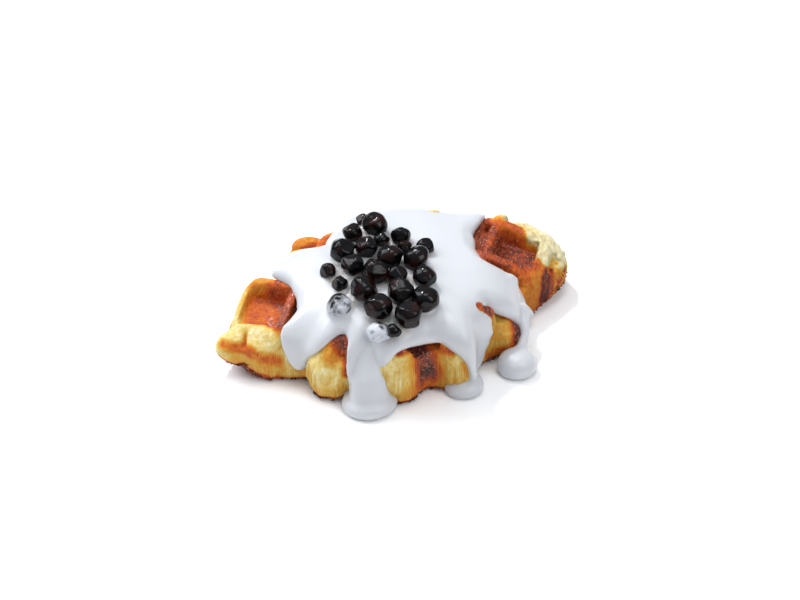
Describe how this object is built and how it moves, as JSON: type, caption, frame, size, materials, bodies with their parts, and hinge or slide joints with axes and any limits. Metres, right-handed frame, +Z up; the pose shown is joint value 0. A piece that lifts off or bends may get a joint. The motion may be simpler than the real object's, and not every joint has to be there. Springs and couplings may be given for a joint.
{
  "type": "croffle",
  "caption": "Croissant waffle (croffle): rolled dough pressed in a waffle iron, coated in cream sauce that drips to the table, topped with tapioca pearls.",
  "frame": {"origin": "centre of the whole piece's plan, at the level of the table it rests on", "axes": "+X along the long axis of the croffle, towards the end seen at the right of the picture; +Y away from the viewer of the picture; +Z up, from the table through the pearls"},
  "size_m": [0.1396, 0.09, 0.0415],
  "materials": {
    "browned_crust": "dry baked crust, browned more on the ridges and in the pockets",
    "cream_sauce": "smooth, softly glossy cream",
    "tapioca": "wet gloss, black-brown"
  },
  "bodies": {
    "root": {"croffle": "browned_crust", "cream": "cream_sauce", "pearl_01": "tapioca", "pearl_02": "tapioca", "pearl_03": "tapioca", "pearl_04": "tapioca", "pearl_05": "tapioca", "pearl_06": "tapioca", "pearl_07": "tapioca", "pearl_08": "tapioca", "pearl_09": "tapioca", "pearl_10": "tapioca", "pearl_11": "tapioca", "pearl_12": "tapioca", "pearl_13": "tapioca", "pearl_14": "tapioca", "pearl_15": "tapioca", "pearl_16": "tapioca", "pearl_17": "tapioca", "pearl_18": "tapioca", "pearl_19": "tapioca", "pearl_20": "tapioca", "pearl_21": "tapioca", "pearl_22": "tapioca", "pearl_23": "tapioca", "pearl_24": "tapioca", "pearl_25": "tapioca"}
  },
  "joints": []
}
